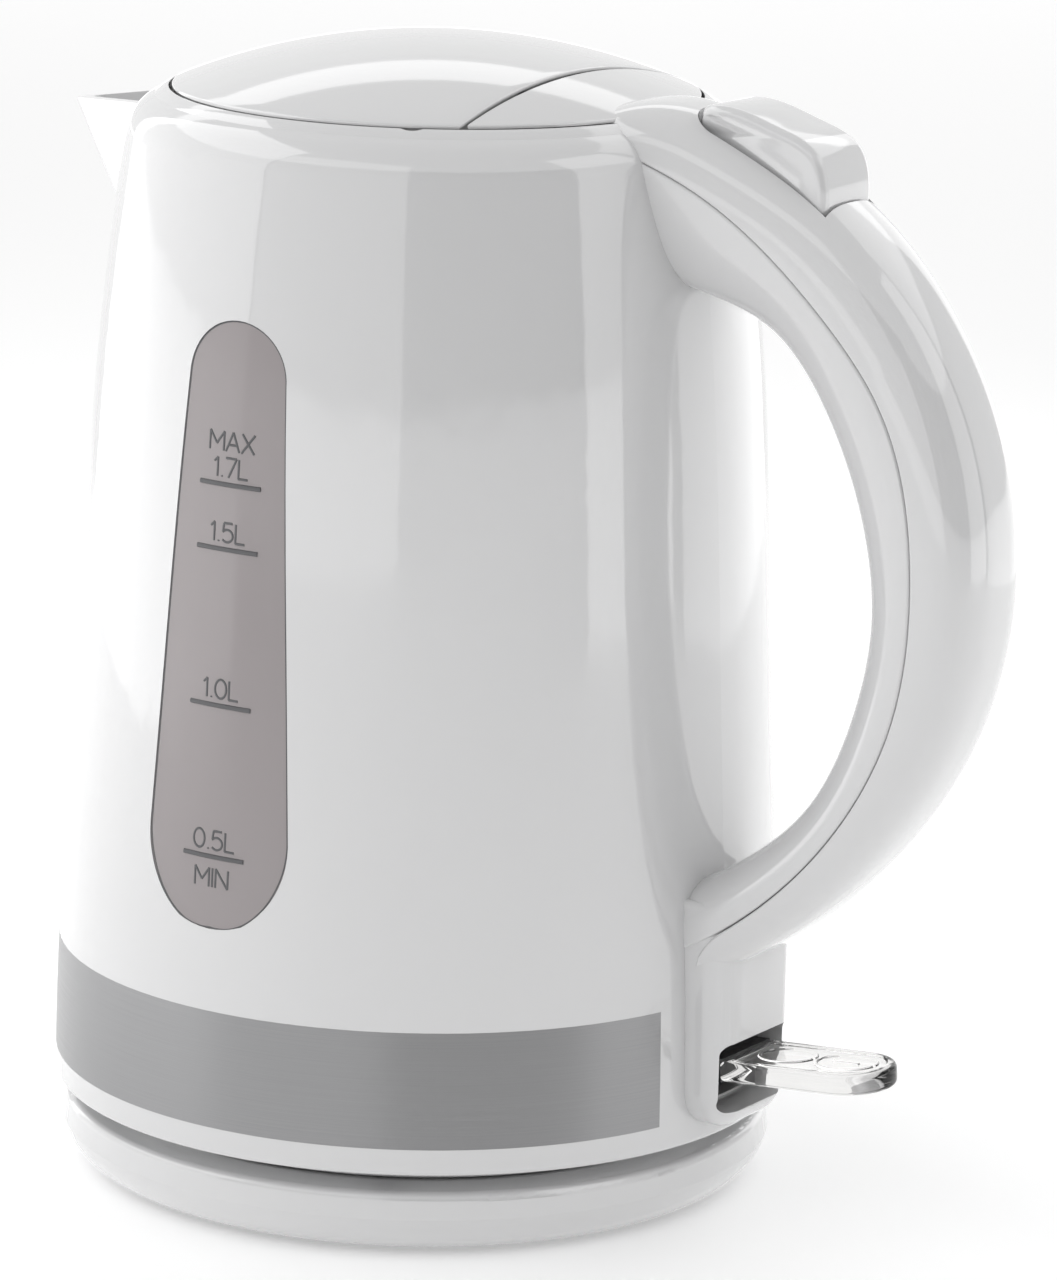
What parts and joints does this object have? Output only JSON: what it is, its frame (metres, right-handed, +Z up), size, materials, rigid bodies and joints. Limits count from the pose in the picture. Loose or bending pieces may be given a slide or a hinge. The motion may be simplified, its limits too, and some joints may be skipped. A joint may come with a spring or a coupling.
{
  "type": "electric kettle",
  "caption": "Tall tapered cordless kettle on a round power base, with a V spout, crowned hinged lid, C handle, side water windows and a clear on/off lever.",
  "frame": {"origin": "on the jug's vertical axis, in the plane that the power base's feet stand on", "axes": "+Z up, spout towards -X, handle and switch lever towards +X, water windows facing -Y and +Y"},
  "size_m": [0.2324, 0.156, 0.243],
  "materials": {
    "white_gloss": "glossy injection-moulded white plastic",
    "white_satin": "satin white plastic, unseen faces",
    "smoked_window": "smoked translucent plastic, polished",
    "brushed_band": "fine horizontal brushing, satin",
    "clear_lever": "clear polished plastic",
    "stainless": "satin stainless steel",
    "spring_steel": "bright drawn wire",
    "screw_steel": "zinc plated",
    "contact_brass": "plain brass",
    "black_plastic": "matt black moulding",
    "grey_rubber": "soft matt rubber",
    "seal_silicone": "translucent white silicone",
    "filter_mesh": "fine nylon gauze",
    "wire_sleeve": "glass-braid sleeving",
    "lamp_glass": "small neon lamp"
  },
  "bodies": {
    "power_base": {"base_top_shell": "white_gloss", "base_bottom_cover": "white_satin", "base_feet": "grey_rubber", "base_screws": "screw_steel", "base_connector": "white_satin", "base_contacts": "contact_brass", "cord_bush": "white_satin", "core_spring": "spring_steel"},
    "connector_core": {"connector_core": "white_satin"},
    "jug": {"jug_body": "white_gloss", "trim_band": "brushed_band", "water_window_near": "smoked_window", "water_window_far": "smoked_window", "heating_plate": "stainless", "plate_seal": "seal_silicone", "plate_clamp": "stainless", "heating_element": "stainless", "control_housing": "black_plastic", "bimetal_discs": "contact_brass", "steam_bimetal": "contact_brass", "jug_connector": "black_plastic", "connector_rings": "contact_brass", "lead_wires": "wire_sleeve", "bottom_cover": "white_satin", "bottom_screws": "screw_steel", "hinge_bracket": "white_satin", "lid_hinge_pin": "stainless", "handle_outer_shell": "white_gloss", "handle_inner_shell": "white_gloss", "handle_screws": "screw_steel", "panel_screws": "screw_steel", "button_pin": "stainless", "button_spring": "spring_steel", "steam_tube": "seal_silicone", "indicator_lamp": "lamp_glass", "lever_pin": "stainless"},
    "lid": {"lid_outer": "white_gloss", "lid_inner": "white_satin", "lid_seal": "seal_silicone"},
    "release_button": {"release_button": "white_gloss"},
    "lid_latch": {"latch_slider": "white_satin"},
    "on_off_lever": {"switch_lever": "clear_lever", "switch_rocker": "black_plastic"},
    "spout_filter": {"spout_filter_frame": "white_satin", "spout_filter_mesh": "filter_mesh"}
  },
  "joints": [
    {"name": "base_swivel", "type": "hinge", "parent": "power_base", "child": "connector_core", "pos_m": [0, 0, 0.02], "axis": [0, 0, 1], "continuous": true},
    {"name": "jug_lift", "type": "slide", "parent": "connector_core", "child": "jug", "axis": [0, 0, 1], "range_m": [0, 0.08]},
    {"name": "lid_hinge", "type": "hinge", "parent": "jug", "child": "lid", "pos_m": [0.026, 0, 0.2295], "axis": [0, 1, 0], "range_deg": [0, 75]},
    {"name": "button_press", "type": "hinge", "parent": "jug", "child": "release_button", "pos_m": [0.0735, 0, 0.228], "axis": [0, 1, 0], "range_deg": [0, 5], "stiffness_Nm_per_rad": 0.6, "springref_deg": -2.86, "deforming": ["button_spring"]},
    {"name": "latch_draw", "type": "slide", "parent": "jug", "child": "lid_latch", "axis": [1, 0, 0], "range_m": [0, 0.0022]},
    {"name": "lever_rock", "type": "hinge", "parent": "jug", "child": "on_off_lever", "pos_m": [0.0786, 0, 0.0346], "axis": [0, 1, 0], "range_deg": [0, 9]},
    {"name": "filter_unclip", "type": "slide", "parent": "jug", "child": "spout_filter", "axis": [1, 0, 0], "range_m": [0, 0.022]}
  ],
  "couplings": [
    {"joint": "latch_draw", "follows": "button_press", "m_per_rad": 0.0225}
  ]
}
